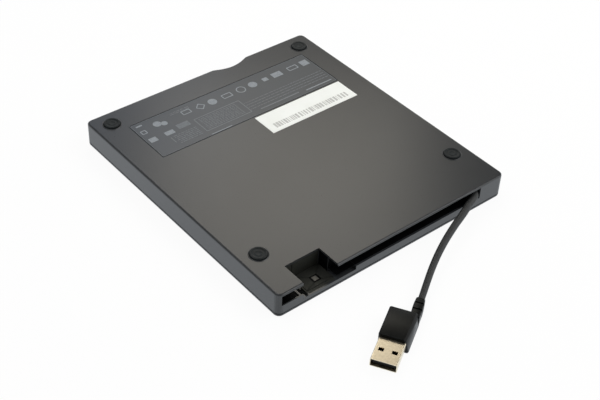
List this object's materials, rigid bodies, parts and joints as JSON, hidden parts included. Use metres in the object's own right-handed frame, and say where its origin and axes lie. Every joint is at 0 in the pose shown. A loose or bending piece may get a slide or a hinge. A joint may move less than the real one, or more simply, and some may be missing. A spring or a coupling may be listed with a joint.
{
  "type": "external dvd drive",
  "caption": "Slim portable disc drive with a slide-out tray, sprung eject button, rubber feet, a cord channel and a stowable plug, shown upside down.",
  "frame": {"origin": "centre of the housing's footprint on the surface that the top cover's outer face lies on; the drive is stored upside down, as in the picture", "axes": "+Z from the top cover up to the underside with the feet, -Y the way the tray slides out, +Y the back edge with the plug pocket and cord, +X the side nearest the pocket"},
  "size_m": [0.145, 0.2182, 0.015],
  "materials": {
    "case_plastic": "satin moulded ABS",
    "lid_plastic": "fine satin",
    "bezel_plastic": "satin",
    "foot_rubber": "matte",
    "panel_film": "satin film",
    "label_paper": "matte paper film",
    "catch_plastic": "matte",
    "pan_steel": "galvanised sheet",
    "bright_steel": "bright",
    "tray_plastic": "fine matte",
    "board_laminate": "solder mask",
    "chip_epoxy": "matte",
    "flex_film": "film",
    "connector_nylon": "matte",
    "shroud_alloy": "satin",
    "sled_alloy": "cast",
    "holder_plastic": "matte",
    "lens_glass": "coated",
    "light_plastic": "frosted",
    "cord_rubber": "satin",
    "plug_rubber": "satin",
    "shell_nickel": "nickel plate",
    "lever_plastic": "matte",
    "coil_wire": "enamelled wire"
  },
  "bodies": {
    "housing": {"bottom_case": "case_plastic", "top_cover": "lid_plastic", "rubber_foot_1": "foot_rubber", "rubber_foot_2": "foot_rubber", "rubber_foot_3": "foot_rubber", "rubber_foot_4": "foot_rubber", "rating_panel": "panel_film", "label_sticker": "label_paper", "plug_catch": "catch_plastic", "chassis_pan": "pan_steel", "drive_cover": "pan_steel", "drive_screw_1": "bright_steel", "drive_screw_2": "bright_steel", "drive_screw_3": "bright_steel", "drive_screw_4": "bright_steel", "left_guide": "bright_steel", "right_guide": "bright_steel", "bridge_board": "board_laminate", "bridge_chip": "chip_epoxy", "drive_connector": "connector_nylon", "flex_cable": "flex_film", "cord_gland": "cord_rubber", "inner_cord": "cord_rubber", "usb_cord": "cord_rubber", "plug_body": "plug_rubber", "plug_shell": "shell_nickel", "plug_tongue": "connector_nylon"},
    "tray": {"tray": "tray_plastic", "bezel": "bezel_plastic", "light_pipe": "light_plastic", "eject_switch": "chip_epoxy", "tray_bottom_cover": "pan_steel", "main_board": "board_laminate", "servo_chip": "chip_epoxy", "driver_chip": "chip_epoxy", "flex_socket": "connector_nylon", "traverse_frame": "pan_steel", "traverse_damper_1": "foot_rubber", "traverse_damper_2": "foot_rubber", "traverse_damper_3": "foot_rubber", "spindle_motor_base": "pan_steel", "main_guide_rod": "bright_steel", "support_guide_rod": "bright_steel", "sled_motor": "bright_steel", "latch_solenoid": "coil_wire", "pickup_shroud": "shroud_alloy"},
    "left_rail": {"left_rail": "bright_steel"},
    "right_rail": {"right_rail": "bright_steel"},
    "eject_button": {"eject_button": "bezel_plastic"},
    "spindle": {"spindle_hub": "bright_steel", "friction_ring": "foot_rubber"},
    "lead_screw": {"lead_screw": "bright_steel"},
    "pickup_sled": {"pickup_sled": "sled_alloy"},
    "lens": {"lens_holder": "holder_plastic", "objective_lens": "lens_glass"},
    "latch_lever": {"latch_lever": "lever_plastic"}
  },
  "joints": [
    {"name": "tray_slide", "type": "slide", "parent": "housing", "child": "tray", "axis": [0, -1, 0], "range_m": [0, 0.128]},
    {"name": "left_rail_slide", "type": "slide", "parent": "housing", "child": "left_rail", "axis": [0, -1, 0], "range_m": [0, 0.064]},
    {"name": "right_rail_slide", "type": "slide", "parent": "housing", "child": "right_rail", "axis": [0, -1, 0], "range_m": [0, 0.064]},
    {"name": "eject_button_press", "type": "slide", "parent": "tray", "child": "eject_button", "axis": [0, 1, 0], "range_m": [0, 0.0008], "stiffness_N_per_m": 600},
    {"name": "spindle_spin", "type": "hinge", "parent": "tray", "child": "spindle", "pos_m": [0, -0.0134, 0.006], "axis": [0, 0, -1], "continuous": true},
    {"name": "sled_slide", "type": "slide", "parent": "tray", "child": "pickup_sled", "axis": [0.7071, -0.7071, 0], "range_m": [0, 0.0345]},
    {"name": "lead_screw_turn", "type": "hinge", "parent": "tray", "child": "lead_screw", "pos_m": [0.02051, -0.01241, 0.00885], "axis": [0.7071, -0.7071, 0], "range_deg": [0, 4141]},
    {"name": "lens_focus", "type": "slide", "parent": "pickup_sled", "child": "lens", "axis": [0, 0, -1], "range_m": [-0.0004, 0.0004], "stiffness_N_per_m": 120},
    {"name": "latch_swing", "type": "hinge", "parent": "tray", "child": "latch_lever", "pos_m": [-0.049, -0.0377, 0.0074], "axis": [0, 0, 1], "range_deg": [-16, 0]}
  ],
  "couplings": [
    {"joint": "left_rail_slide", "follows": "tray_slide", "ratio": 0.5},
    {"joint": "right_rail_slide", "follows": "tray_slide", "ratio": 0.5},
    {"joint": "lead_screw_turn", "follows": "sled_slide", "rad_per_m": 2094.4}
  ]
}
